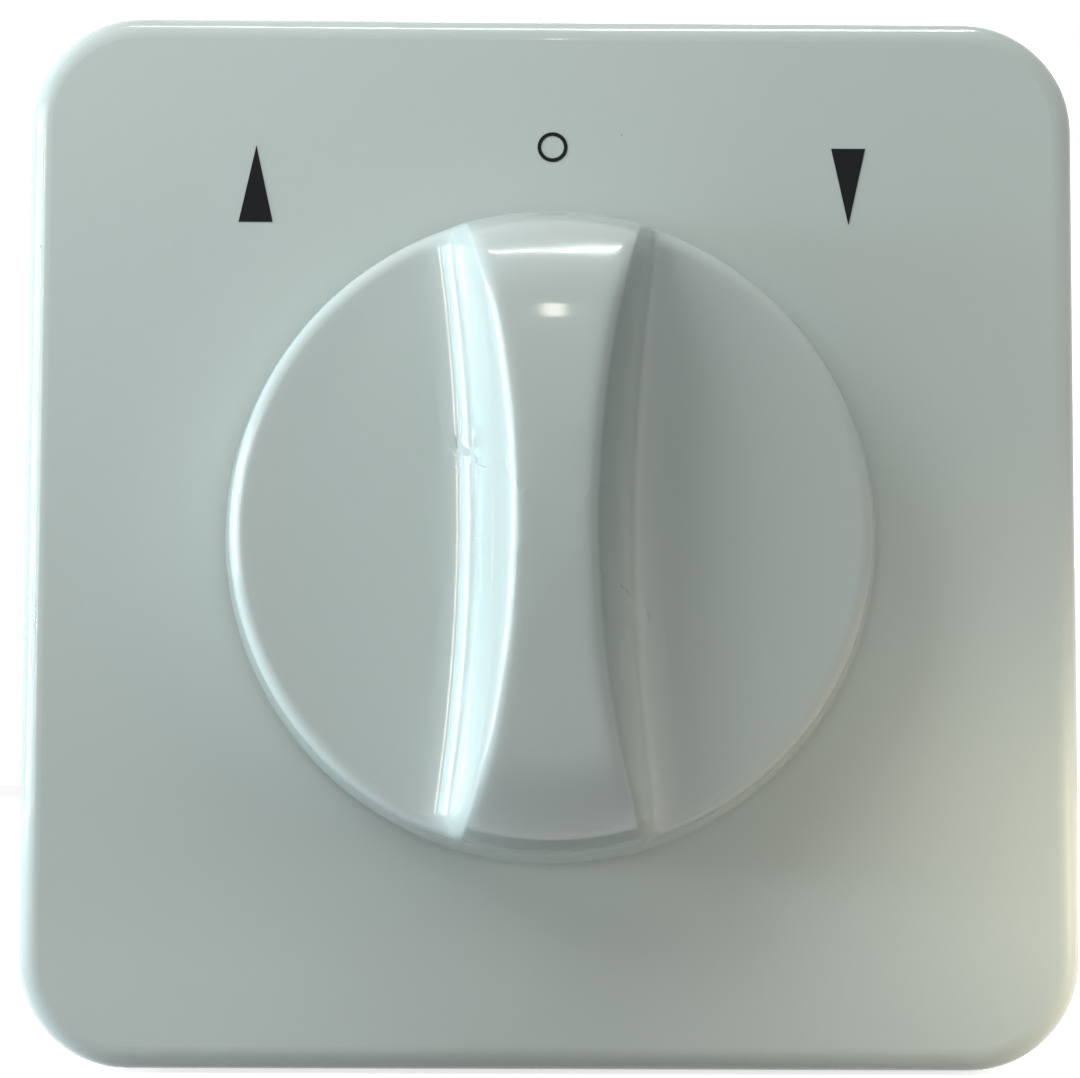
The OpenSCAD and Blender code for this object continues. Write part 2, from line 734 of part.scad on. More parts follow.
module moving_contact() {
    color("#c9a557") face_front() translate([0, 0, moving_bottom]) linear_extrude(strip_t) difference() {
        union() {
            circle(washer_r);
            translate([-finger_w / 2, 0]) square([finger_w, pad_at]);
            translate([0, pad_at]) circle(pad_r);
        }
        neck_section(seat_clear);
    }
}

// Fixed contact strip, from its terminal block to the pad that the finger reaches at side -1 or 1
module side_strip(side) {
    pad_x = pad_at * sin(turn_angle);
    pad_y = pad_at * cos(turn_angle);
    outer = block_at + block_w / 2;
    color("#c9a557") face_front() translate([0, 0, fixed_bottom]) linear_extrude(strip_t)
        mirror([side < 0 ? 1 : 0, 0]) {
            translate([pad_x, pad_y]) circle(pad_r);
            translate([pad_x, pad_y - pad_r]) square([outer - pad_x, 2 * pad_r]);
        }
}

module up_contact() {
    side_strip(-1);
}

module down_contact() {
    side_strip(1);
}

module common_contact() {
    color("#c9a557") face_front() translate([0, 0, fixed_bottom]) linear_extrude(strip_t) difference() {
        union() {
            circle(washer_r);
            translate([-finger_w / 2, -block_at - block_w / 2]) square([finger_w, block_at + block_w / 2]);
        }
        circle(common_r);
        translate([-washer_r - 1, 0]) square([2 * washer_r + 2, washer_r + 1]);
    }
}

module terminal_block(name) {
    color("#c9a557") face_front() at_terminal(name) difference() {
        translate([-block_w / 2, -block_w / 2, floor_top]) cube([block_w, block_w, block_h]);
        translate([0, 0, floor_top - eps]) cylinder(d = wire_bore_d, h = wire_bore_len + eps);
        translate([0, 0, clamp_z]) rotate([0, -90, 0])
            cylinder(r = clamp_screw_d / 2 + seat_clear, h = block_w);
    }
}

module up_terminal() {
    terminal_block("up");
}

module down_terminal() {
    terminal_block("down");
}

module common_terminal() {
    terminal_block("common");
}

module terminal_screws() {
    color("#a9adb0") face_front() for (name = TERMINALS) at_terminal(name)
        translate([-block_w / 2 - seat_clear, 0, clamp_z]) rotate([0, -90, 0]) difference() {
            union() {
                cylinder(d = clamp_head_d, h = clamp_head_h);
                translate([0, 0, clamp_tip - block_w / 2]) cylinder(d = clamp_screw_d, h = block_w / 2 - clamp_tip + eps);
            }
            translate([0, 0, clamp_head_h]) driver_slot(clamp_head_d);
        }
}

cover_plate();
up_mark();
off_mark();
down_mark();
knob();
knob_clip();
plate_screws();
support_ring();
ring_screws();
bearing_bridge();
switch_base();
spindle();
retaining_clip();
detent_wheel();
detent_spring();
contact_drum();
moving_contact();
up_contact();
down_contact();
common_contact();
up_terminal();
down_terminal();
common_terminal();
terminal_screws();
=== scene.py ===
"""Roller shutter switch: the looks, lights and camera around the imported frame.

Lengths are in metres, in the frame's own axes: the front faces -Y, up is +Z and the wall plane is y = 0.
"""

from __future__ import annotations

import json
import logging
import math
from dataclasses import dataclass
from enum import Enum

import bpy
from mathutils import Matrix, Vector


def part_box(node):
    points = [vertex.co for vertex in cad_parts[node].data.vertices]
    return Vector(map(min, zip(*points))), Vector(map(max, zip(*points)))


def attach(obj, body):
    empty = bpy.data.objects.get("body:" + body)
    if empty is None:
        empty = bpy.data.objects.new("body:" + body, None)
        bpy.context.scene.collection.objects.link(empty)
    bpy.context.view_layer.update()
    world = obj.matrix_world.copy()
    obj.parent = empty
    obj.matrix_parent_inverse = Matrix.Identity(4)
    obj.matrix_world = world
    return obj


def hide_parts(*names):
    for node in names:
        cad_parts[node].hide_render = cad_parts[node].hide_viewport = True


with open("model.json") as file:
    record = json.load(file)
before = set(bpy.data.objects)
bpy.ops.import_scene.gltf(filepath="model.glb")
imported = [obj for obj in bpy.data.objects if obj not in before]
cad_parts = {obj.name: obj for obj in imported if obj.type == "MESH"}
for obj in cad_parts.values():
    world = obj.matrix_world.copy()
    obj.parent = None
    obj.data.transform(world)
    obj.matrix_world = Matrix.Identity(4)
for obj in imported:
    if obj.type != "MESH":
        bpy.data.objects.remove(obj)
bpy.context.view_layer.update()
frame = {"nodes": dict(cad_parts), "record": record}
log = logging.getLogger("roller_shutter_switch")
MM = 0.001

Colour = tuple[float, float, float]
Point = tuple[float, float, float]


class Body(Enum):
    """The two rigid bodies of the frame."""

    SWITCH = "switch_body"
    KNOB = "knob_set"


class Slot(Enum):
    """The record's material slots."""

    WHITE_PLASTIC = "white_plastic"
    BLACK_PRINT = "black_print"
    BRIDGE_PLASTIC = "bridge_plastic"
    BASE_PLASTIC = "base_plastic"
    WHEEL_PLASTIC = "wheel_plastic"
    DRUM_PLASTIC = "drum_plastic"
    RING_STEEL = "ring_steel"
    SHAFT_STEEL = "shaft_steel"
    SPRING_STEEL = "spring_steel"
    SCREW_STEEL = "screw_steel"
    CONTACT_BRASS = "contact_brass"


class Wire:
    """A node's output, whose operators add Math or Vector Math nodes."""

    def __init__(self, graph: "Graph", socket: bpy.types.NodeSocket) -> None:
        """Keeps the graph that new nodes go into and the socket that is wrapped."""
        self.graph = graph
        self.socket = socket

    def math(self, operation: str, *others: "Wire | float", swap: bool = False) -> "Wire":
        """Adds one Math node.

        Args:
            operation: Name of the Math operation.
            others: The further operands.
            swap: True where the other operand comes first.

        Returns:
            The node's value.
        """
        operands = [self, *others]
        if swap:
            operands.reverse()
        sockets = dict(enumerate(operands))
        return self.graph.node("ShaderNodeMath", {"operation": operation}, sockets)

    def __add__(self, other: "Wire | float") -> "Wire":
        """self + other."""
        return self.math("ADD", other)

    __radd__ = __add__

    def __sub__(self, other: "Wire | float") -> "Wire":
        """self - other."""
        return self.math("SUBTRACT", other)

    def __rsub__(self, other: float) -> "Wire":
        """other - self."""
        return self.math("SUBTRACT", other, swap=True)

    def __mul__(self, other: "Wire | float") -> "Wire":
        """self * other."""
        return self.math("MULTIPLY", other)

    __rmul__ = __mul__

    def between(self, low: float, high: float) -> "Wire":
        """A smooth 0 to 1 as the value goes from low to high."""
        settings = {"interpolation_type": "SMOOTHSTEP"}
        sockets = {"Value": self, "From Min": low, "From Max": high}
        return self.graph.node("ShaderNodeMapRange", settings, sockets)


class Graph:
    """The node tree of one material or of the world."""

    def __init__(self, tree: bpy.types.NodeTree) -> None:
        """Empties the tree, so that all its nodes come from here."""
        self.tree = tree
        tree.nodes.clear()

    def node(
        self, kind: str, settings: dict[str, object], sockets: dict[str | int, object], output: str | int = 0
    ) -> Wire:
        """Adds a node.

        Args:
            kind: Blender's name of the node type.
            settings: Node properties, set first. The key "stops" fills a colour ramp.
            sockets: Values or wires for the inputs, by name or place.
            output: Name or place of the output that is returned.

        Returns:
            The chosen output, wrapped.
        """
        made = self.tree.nodes.new(kind)
        for name, value in settings.items():
            if name == "stops":
                self._fill_ramp(made.color_ramp, value)
            else:
                setattr(made, name, value)
        for name, value in sockets.items():
            if isinstance(value, Wire):
                self.tree.links.new(value.socket, made.inputs[name])
            else:
                made.inputs[name].default_value = value
        return Wire(self, made.outputs[output]) if len(made.outputs) else Wire(self, None)

    @staticmethod
    def _fill_ramp(ramp: bpy.types.ColorRamp, stops: list[tuple[float, Colour]]) -> None:
        """Sets a ramp's stops, each a place and a colour."""
        while len(ramp.elements) < len(stops):
            ramp.elements.new(1.0)
        for element, (place, colour) in zip(ramp.elements, stops):
            element.position = place
            element.color = (*colour, 1.0)

    def mix(self, share: Wire | float, low: Wire | Colour, high: Wire | Colour) -> Wire:
        """Mixes two colours.

        Args:
            share: 0 gives low and 1 gives high.
            low: First colour.
            high: Second colour.

        Returns:
            The mixed colour.
        """
        colours = [c if isinstance(c, Wire) else (*c, 1.0) for c in (low, high)]
        sockets = {0: share, 6: colours[0], 7: colours[1]}
        return self.node("ShaderNodeMix", {"data_type": "RGBA"}, sockets, 2)

    def place(self, stretch: Point = (1.0, 1.0, 1.0)) -> Wire:
        """Object coordinates in millimetres.

        Args:
            stretch: Factor along each axis, less than 1 where a pattern is drawn out.

        Returns:
            The coordinates.
        """
        coordinates = self.node("ShaderNodeTexCoord", {}, {}, "Object")
        scale = tuple(factor / MM for factor in stretch)
        return self.node("ShaderNodeMapping", {}, {"Vector": coordinates, "Scale": scale})

    def noise(self, at: Wire, size_mm: float, detail: float = 2.0) -> Wire:
        """Noise from 0 to 1 whose patches are about size_mm across."""
        sockets = {"Vector": at, "Scale": 1.0 / size_mm, "Detail": detail}
        return self.node("ShaderNodeTexNoise", {}, sockets, 0)

    def cells(self, at: Wire, size_mm: float, feature: str = "F1") -> Wire:
        """Distance in cells to the nearest of many scattered points about size_mm apart."""
        return self.node("ShaderNodeTexVoronoi", {"feature": feature}, {"Vector": at, "Scale": 1.0 / size_mm}, 0)

    def bump(self, height: Wire, depth_mm: float, under: Wire | None = None) -> Wire:
        """A normal from a height.

        Args:
            height: Height from 0 to 1.
            depth_mm: Depth that the height stands for.
            under: Normal that this one is laid over.

        Returns:
            The normal.
        """
        sockets = {"Height": height, "Distance": depth_mm * MM, "Strength": 1.0}
        if under is not None:
            sockets["Normal"] = under
        return self.node("ShaderNodeBump", {}, sockets)

    def surface(self, **sockets: object) -> None:
        """Ends the tree in a Principled BSDF with these inputs, spaces written as underscores."""
        named = {name.replace("_", " "): value for name, value in sockets.items()}
        shader = self.node("ShaderNodeBsdfPrincipled", {}, named)
        self.node("ShaderNodeOutputMaterial", {}, {"Surface": shader})


def new_graph(name: str) -> tuple[bpy.types.Material, Graph]:
    """A new material and its empty graph."""
    material = bpy.data.materials.new(name)
    material.use_nodes = True
    return material, Graph(material.node_tree)


@dataclass(frozen=True)
class GlossPlastic:
    """Polished moulded plastic with a faint ripple, handling marks and specks of dust."""

    name: str
    colour: Colour
    roughness: float = 0.15
    ripple_mm: float = 0.0022
    ripple_size: float = 2.6
    speck_share: float = 0.035
    coat: float = 0.6

    def make(self) -> bpy.types.Material:
        """Builds the material."""
        material, g = new_graph(self.name)
        at = g.place()
        cloud = g.noise(at, 34.0, 3.0)
        mottle = g.noise(at, 1.1, 2.0)
        tint = g.mix(cloud.between(0.35, 0.65) * 0.5, self.colour, tuple(c * k for c, k in zip(self.colour, (0.965, 0.975, 0.96))))
        body = g.mix(mottle.between(0.3, 0.7) * 0.3, tint, tuple(c * 0.975 for c in self.colour))
        speck_at = g.cells(at, 4.2)
        speck = (1.0 - speck_at.between(self.speck_share * 0.5, self.speck_share)) * g.noise(at, 9.0).between(0.52, 0.6)
        coloured = g.mix(speck * 0.55, body, (0.18, 0.19, 0.18))
        wiped = g.noise(g.place((1.0, 1.0, 0.16)), 0.5, 3.0).between(0.42, 0.78)
        hazy = g.noise(at, 12.0, 2.0).between(0.4, 0.75)
        rough = wiped * 0.05 + hazy * 0.05 + self.roughness
        ripple = g.bump(g.noise(at, self.ripple_size, 1.0), self.ripple_mm * self.ripple_size)
        fine = g.bump(g.noise(at, 0.24, 2.0), 0.0006, ripple)
        g.surface(
            Base_Color=coloured,
            Roughness=rough,
            Normal=fine,
            IOR=1.5,
            Coat_Weight=self.coat,
            Coat_Roughness=0.035,
        )
        return material


@dataclass(frozen=True)
class MattePlastic:
    """Moulded technical plastic with a fine spark-eroded grain."""

    name: str
    colour: Colour
    dark: Colour
    roughness: float = 0.48
    grain_mm: float = 0.012
    grain_size: float = 0.35

    def make(self) -> bpy.types.Material:
        """Builds the material."""
        material, g = new_graph(self.name)
        at = g.place()
        flow = g.noise(g.place((1.0, 0.35, 1.0)), 7.0, 4.0)
        grain = g.noise(at, self.grain_size, 3.0)
        fleck = g.cells(at, 0.9)
        body = g.mix(flow.between(0.3, 0.72) * 0.6, self.colour, self.dark)
        coloured = g.mix((1.0 - fleck.between(0.1, 0.24)) * 0.22, body, self.dark)
        rough = grain.between(0.3, 0.7) * 0.12 + self.roughness
        normal = g.bump(grain, self.grain_mm, g.bump(flow, 0.03))
        g.surface(Base_Color=coloured, Roughness=rough, Normal=normal, IOR=1.52)
        return material


@dataclass(frozen=True)
class PlatedSteel:
    """Zinc-plated or bare steel with drawn grain, spangle and handling marks."""

    name: str
    colour: Colour
    warm: Colour
    roughness: float = 0.27
    grain: Point = (0.05, 1.0, 1.0)
    spangle_mm: float = 2.2

    def make(self) -> bpy.types.Material:
        """Builds the material."""
        material, g = new_graph(self.name)
        at = g.place()
        drawn = g.noise(g.place(self.grain), 0.16, 3.0)
        spangle = g.node("ShaderNodeTexVoronoi", {}, {"Vector": at, "Scale": 1.0 / self.spangle_mm}, "Color")
        shade = g.node("ShaderNodeSeparateColor", {}, {"Color": spangle}, 0)
        cloud = g.noise(at, 6.0, 4.0)
        body = g.mix(cloud.between(0.35, 0.7) * 0.7, self.colour, self.warm)
        coloured = g.mix(shade * 0.16, body, tuple(c * 0.72 for c in self.colour))
        rough = drawn.between(0.25, 0.75) * 0.14 + shade * 0.06 + self.roughness
        normal = g.bump(drawn, 0.004, g.bump(cloud, 0.02))
        g.surface(Base_Color=coloured, Metallic=1.0, Roughness=rough, Normal=normal)
        return material


@dataclass(frozen=True)
class StampedBrass:
    """Bright brass, a little tarnished in patches, with rolling lines."""

    name: str
    colour: Colour
    tarnish: Colour
    roughness: float = 0.24

    def make(self) -> bpy.types.Material:
        """Builds the material."""
        material, g = new_graph(self.name)
        at = g.place()
        rolled = g.noise(g.place((1.0, 1.0, 0.06)), 0.2, 2.0)
        patch = g.noise(at, 3.2, 5.0).between(0.48, 0.72)
        coloured = g.mix(patch * 0.75, self.colour, self.tarnish)
        rough = rolled.between(0.25, 0.75) * 0.12 + patch * 0.16 + self.roughness
        normal = g.bump(rolled, 0.004)
        g.surface(Base_Color=coloured, Metallic=1.0, Roughness=rough, Normal=normal)
        return material


@dataclass(frozen=True)
class BlackPrint:
    """Pad-printed ink: nearly black, a little uneven where it lies thin."""

    name: str = "black_ink"

    def make(self) -> bpy.types.Material:
        """Builds the material."""
        material, g = new_graph(self.name)
        at = g.place()
        thin = g.noise(at, 0.3, 4.0)
        coloured = g.mix(thin.between(0.55, 0.8) * 0.6, (0.0035, 0.004, 0.005), (0.012, 0.015, 0.017))
        g.surface(
            Base_Color=coloured,
            Roughness=thin.between(0.3, 0.7) * 0.1 + 0.34,
            Normal=g.bump(thin, 0.004),
            IOR=1.45,
            Specular_IOR_Level=0.2,
        )
        return material


class Finishes:
    """One material for each slot, made once."""

    WHITE: Colour = (0.500, 0.565, 0.545)

    def __init__(self) -> None:
        """Builds all the materials."""
        recipes = {
            Slot.WHITE_PLASTIC: GlossPlastic("white_gloss", self.WHITE),
            Slot.BLACK_PRINT: BlackPrint(),
            Slot.BRIDGE_PLASTIC: MattePlastic("bridge_grey", (0.115, 0.125, 0.13), (0.085, 0.09, 0.095)),
            Slot.BASE_PLASTIC: MattePlastic("base_cream", (0.70, 0.68, 0.60), (0.61, 0.59, 0.51), 0.42),
            Slot.WHEEL_PLASTIC: MattePlastic("wheel_white", (0.78, 0.78, 0.74), (0.70, 0.70, 0.66), 0.38, 0.006),
            Slot.DRUM_PLASTIC: MattePlastic("drum_black", (0.030, 0.033, 0.036), (0.018, 0.020, 0.022), 0.36),
            Slot.RING_STEEL: PlatedSteel("ring_zinc", (0.62, 0.64, 0.65), (0.58, 0.57, 0.52)),
            Slot.SHAFT_STEEL: PlatedSteel("shaft_turned", (0.60, 0.61, 0.62), (0.52, 0.52, 0.51), 0.2, (1.0, 0.05, 1.0), 6.0),
            Slot.SPRING_STEEL: PlatedSteel("spring_rolled", (0.36, 0.37, 0.39), (0.30, 0.29, 0.28), 0.25, (0.05, 1.0, 1.0), 6.0),
            Slot.SCREW_STEEL: PlatedSteel("screw_zinc", (0.60, 0.62, 0.63), (0.60, 0.57, 0.48), 0.25, (1.0, 0.1, 1.0), 1.2),
            Slot.CONTACT_BRASS: StampedBrass("contact_brass", (0.74, 0.52, 0.20), (0.42, 0.27, 0.10)),
        }
        self.materials = {slot: recipe.make() for slot, recipe in recipes.items()}

    def dress(self, piece: bpy.types.Object, slot: Slot) -> None:
        """Gives a piece or a CAD node one slot's material, in place of what it has."""
        piece.data.materials.clear()
        piece.data.materials.append(self.materials[slot])


def select_only(piece: bpy.types.Object) -> None:
    """Deselects all and makes one object selected and active."""
    bpy.ops.object.select_all(action="DESELECT")
    piece.select_set(True)
    bpy.context.view_layer.objects.active = piece


def apply_modifier(piece: bpy.types.Object, kind: str, **settings: object) -> None:
    """Adds a modifier with these settings and applies it."""
    select_only(piece)
    modifier = piece.modifiers.new(kind.lower(), kind)
    for name, value in settings.items():
        setattr(modifier, name, value)
    bpy.ops.object.modifier_apply(modifier=modifier.name)


@dataclass
class CarriedNodes:
    """The CAD nodes whose shape is right as it is."""

    finishes: Finishes

    def dress_all(self) -> None:
        """Dresses every node of the record with its slot's material."""
        for row in frame["record"]["subparts"]:
            node = frame["nodes"][row["node"]]
            self.finishes.dress(node, Slot(row["material_slot"]))
            log.info("node %s: %s", row["node"], row["material_slot"])


def merged_copy(node_name: str, piece_name: str, weld: float = 0.000001) -> bpy.types.Object:
    """Copies a CAD node's mesh into a new object and merges its doubled points.

    Args:
        node_name: The node that is copied.
        piece_name: Name of the new object.
        weld: Distance under which two points are one.

    Returns:
        The copy, at the origin.
    """
    piece = bpy.data.objects.new(piece_name, frame["nodes"][node_name].data.copy())
    bpy.context.scene.collection.objects.link(piece)
    select_only(piece)
    bpy.ops.mesh.customdata_custom_splitnormals_clear()
    bpy.ops.object.mode_set(mode="EDIT")
    bpy.ops.mesh.select_all(action="SELECT")
    bpy.ops.mesh.remove_doubles(threshold=weld)
    bpy.ops.object.mode_set(mode="OBJECT")
    return piece


@dataclass
class EdgedPart:
    """A part whose own form is kept, and whose edges are broken as a tool or a mould leaves them."""

    finishes: Finishes
    node: str
    name: str
    body: Body
    slot: Slot
    edge_mm: float
    flat_deg: float = 1.0
    smooth_deg: float = 32.0

    def cut(self, piece: bpy.types.Object) -> None:
        """Cuts further details into the piece before its edges are broken; here none."""

    def build(self) -> bpy.types.Object:
        """Builds the part from a merged copy of its node.

        Returns:
            The finished piece.
        """
        piece = merged_copy(self.node, self.name)
        bpy.ops.object.mode_set(mode="EDIT")
        bpy.ops.mesh.select_all(action="SELECT")
        bpy.ops.mesh.dissolve_limited(angle_limit=math.radians(self.flat_deg))
        bpy.ops.object.mode_set(mode="OBJECT")
        self.cut(piece)
        apply_modifier(
            piece,
            "BEVEL",
            width=self.edge_mm * MM,
            segments=2,
            limit_method="ANGLE",
            angle_limit=math.radians(self.smooth_deg),
            use_clamp_overlap=True,
        )
        select_only(piece)
        bpy.ops.object.shade_smooth_by_angle(angle=math.radians(self.smooth_deg))
        apply_modifier(piece, "WEIGHTED_NORMAL", keep_sharp=True, weight=100)
        self.finishes.dress(piece, self.slot)
        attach(piece, self.body.value)
        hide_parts(self.node)
        log.info("%s: %d faces", piece.name, len(piece.data.polygons))
        return piece


@dataclass
class BaseMoulding(EdgedPart):
    """The moulded base, with lead-ins at its wire entries, sunk direction marks and ejector marks."""

    mark_r: float = 1.7
    mark_depth: float = 0.35
    mark_above: float = 6.0
    ring_r: float = 1.3
    ejector_r: float = 2.2
    ejector_depth: float = 0.15
    ejector_inset: float = 4.6
    lead_r: float = 2.9
    lead_depth: float = 1.2

    def subtract(self, piece: bpy.types.Object, cutter: bpy.types.Object) -> None:
        """Cuts the cutter out of the piece and deletes the cutter."""
        apply_modifier(piece, "BOOLEAN", object=cutter, operation="DIFFERENCE", solver="EXACT")
        select_only(cutter)
        bpy.ops.object.delete()

    def drum(self, x: float, z: float, back: float, radius: float, depth: float, sides: int, turn: float) -> bpy.types.Object:
        """A cutter with its axis along Y that enters the back face by a depth.

        Args:
            x: Its place across.
            z: Its height.
            back: Y of the back face.
            radius: Its radius.
            depth: How deep it enters.
            sides: Number of its sides.
            turn: Angle by which it is turned about Y.

        Returns:
            The cutter.
        """
        bpy.ops.object.select_all(action="DESELECT")
        bpy.ops.mesh.primitive_cylinder_add(
            vertices=sides,
            radius=radius * MM,
            depth=2 * depth * MM,
            location=(x * MM, back, z * MM),
            rotation=(math.pi / 2, turn, 0.0),
        )
        return bpy.context.object

    def cut(self, piece: bpy.types.Object) -> None:
        """Cuts the lead-ins, the marks and the ejector marks into the back face."""
        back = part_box(self.node)[1][1]
        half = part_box(self.node)[1][0] / MM
        for mount in frame["record"]["mounts"]:
            if mount["kind"] != "bore":
                continue
            x, _, z = (value / MM for value in mount["pos_m"])
            bpy.ops.object.select_all(action="DESELECT")
            bpy.ops.mesh.primitive_cone_add(
                vertices=48,
                radius1=self.lead_r * MM,
                radius2=0.4 * self.lead_r * MM,
                depth=2 * self.lead_depth * MM,
                location=(x * MM, back, z * MM),
                rotation=(math.pi / 2, 0.0, 0.0),
            )
            self.subtract(piece, bpy.context.object)
            up = {"wire_up": 0.0, "wire_down": math.pi}.get(mount["name"])
            if up is None:
                self.subtract(piece, self.drum(x + self.mark_above, z, back, self.ring_r, self.mark_depth, 32, 0.0))
            else:
                self.subtract(piece, self.drum(x, z + self.mark_above, back, self.mark_r, self.mark_depth, 3, up))
        at = half - self.ejector_inset
        for x in (-at, at):
            for z in (-at, at):
                self.subtract(piece, self.drum(x, z, back, self.ejector_r, self.ejector_depth, 32, 0.0))


@dataclass
class Knob:
    """The moulded knob: the frame's own form, made smooth."""

    finishes: Finishes
    sharp_deg: float = 38.0
    levels: int = 2
    polish_back: float = -0.0122
    polish_half_x: float = 0.0115
    polish_half_z: float = 0.0195
    polish_passes: int = 6
    polish_strength: float = 2.0

    def polish(self, knob: bpy.types.Object) -> None:
        """Evens out the ridge's top and its walls, as polishing the mould does."""
        group = knob.vertex_groups.new(name="ridge")
        for vertex in knob.data.vertices:
            outside = vertex.co.y < self.polish_back and vertex.normal.y < -0.03
            middle = abs(vertex.co.x) < self.polish_half_x and abs(vertex.co.z) < self.polish_half_z
            if outside and middle:
                group.add([vertex.index], 1.0, "REPLACE")
        apply_modifier(
            knob,
            "LAPLACIANSMOOTH",
            vertex_group=group.name,
            iterations=self.polish_passes,
            lambda_factor=self.polish_strength,
            lambda_border=0.0,
        )
        knob.vertex_groups.clear()

    def build(self) -> bpy.types.Object:
        """Builds the knob's piece from a merged copy of its node.

        Returns:
            The finished piece.
        """
        knob = merged_copy("knob", "knob_moulding")
        bpy.ops.object.mode_set(mode="EDIT")
        bpy.ops.mesh.select_all(action="SELECT")
        bpy.ops.mesh.tris_convert_to_quads(
            face_threshold=math.radians(self.sharp_deg), shape_threshold=math.radians(self.sharp_deg)
        )
        bpy.ops.mesh.select_all(action="DESELECT")
        bpy.ops.mesh.select_mode(type="EDGE")
        bpy.ops.mesh.edges_select_sharp(sharpness=math.radians(self.sharp_deg))
        bpy.ops.transform.edge_crease(value=1.0)
        bpy.ops.object.mode_set(mode="OBJECT")
        apply_modifier(knob, "SUBSURF", levels=self.levels, render_levels=self.levels)
        select_only(knob)
        self.polish(knob)
        bpy.ops.object.shade_smooth_by_angle(angle=math.radians(self.sharp_deg))
        self.finishes.dress(knob, Slot.WHITE_PLASTIC)
        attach(knob, Body.KNOB.value)
        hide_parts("knob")
        log.info("%s: %d faces", knob.name, len(knob.data.polygons))
        return knob


class Reach(Enum):
    """What a lamp is for: light on dull surfaces, a picture of itself in glossy ones, or both."""

    BOTH = (True, True)
    FILL = (True, False)
    MIRRORED = (False, True)


@dataclass(frozen=True)
class Lamp:
    """A rectangular lamp that faces the switch."""

    name: str
    place: Point
    size: tuple[float, float]
    power: float
    colour: Colour = (1.0, 1.0, 1.0)
    aim: Point = (0.0, 0.0, 0.0)
    reach: Reach = Reach.BOTH
    spread_deg: float = 180.0

    def make(self) -> None:
        """Builds the lamp, which no camera sees."""
        data = bpy.data.lights.new(self.name, "AREA")
        data.shape = "RECTANGLE"
        data.size, data.size_y = self.size
        data.energy = self.power
        data.color = self.colour
        data.spread = math.radians(self.spread_deg)
        lamp = bpy.data.objects.new(self.name, data)
        bpy.context.scene.collection.objects.link(lamp)
        lamp.location = self.place
        towards = Vector(self.aim) - Vector(self.place)
        lamp.rotation_euler = towards.to_track_quat("-Z", "Y").to_euler()
        lamp.visible_camera = False
        lamp.visible_diffuse, lamp.visible_glossy = self.reach.value


@dataclass
class Studio:
    """The camera, the lamps, the world and the floor."""

    camera_at: Point = (-0.002626, -0.221675, -0.016056)
    lens_mm: float = 93.98
    pitch: float = 0.0747
    yaw: float = -0.0084
    roll: float = 0.0048
    floor_z: float = -0.0403
    floor_glow: float = 0.7
    ambient: Colour = (0.11, 0.11, 0.11)

    def set_camera(self) -> None:
        """Puts the camera where the photograph was taken from."""
        data = bpy.data.cameras.new("photo_view")
        data.sensor_fit = "HORIZONTAL"
        data.sensor_width = 36.0
        data.lens = self.lens_mm
        data.clip_start, data.clip_end = 0.01, 10.0
        camera = bpy.data.objects.new("photo_view", data)
        bpy.context.scene.collection.objects.link(camera)
        camera.location = self.camera_at
        camera.rotation_mode = "ZYX"
        camera.rotation_euler = (math.pi / 2 + self.pitch, self.yaw, self.roll)
        bpy.context.scene.camera = camera

    def set_lamps(self) -> None:
        """Adds the lamps."""
        for lamp in LAMPS:
            lamp.make()
            log.info("lamp %s", lamp.name)

    def set_world(self) -> None:
        """Makes the world white where the camera or a gloss sees it, and soft grey as a light."""
        world = bpy.data.worlds.new("room")
        world.use_nodes = True
        bpy.context.scene.world = world
        g = Graph(world.node_tree)
        rays = g.node("ShaderNodeLightPath", {}, {}, "Is Camera Ray")
        sides = rays.socket.node.outputs
        seen = rays.math("MAXIMUM", Wire(g, sides["Is Glossy Ray"])).math("MAXIMUM", Wire(g, sides["Is Transmission Ray"]))
        colour = g.mix(seen, self.ambient, (1.0, 1.0, 1.0))
        shader = g.node("ShaderNodeBackground", {}, {"Color": colour, "Strength": 1.0})
        g.node("ShaderNodeOutputWorld", {}, {"Surface": shader})

    def lay_floor(self) -> None:
        """Lays a plain pale floor just under the plate."""
        bpy.ops.object.select_all(action="DESELECT")
        bpy.ops.mesh.primitive_circle_add(vertices=96, radius=1.6, fill_type="NGON", location=(0.0, 0.0, self.floor_z))
        floor = bpy.context.object
        floor.name = "floor"
        material, g = new_graph("pale_floor")
        rays = g.node("ShaderNodeLightPath", {}, {}, "Is Camera Ray")
        seen = rays.math("MAXIMUM", Wire(g, rays.socket.node.outputs["Is Glossy Ray"]))
        cloud = g.noise(g.place(), 60.0, 3.0)
        pale = g.mix(cloud * 0.1, (0.9, 0.9, 0.9), (0.84, 0.84, 0.84))
        glow = g.mix(seen, (0.0, 0.0, 0.0), (self.floor_glow,) * 3)
        g.surface(
            Base_Color=g.mix(seen, (0.25, 0.25, 0.25), pale), Roughness=0.7, Emission_Color=glow, Emission_Strength=1.0
        )
        floor.data.materials.append(material)


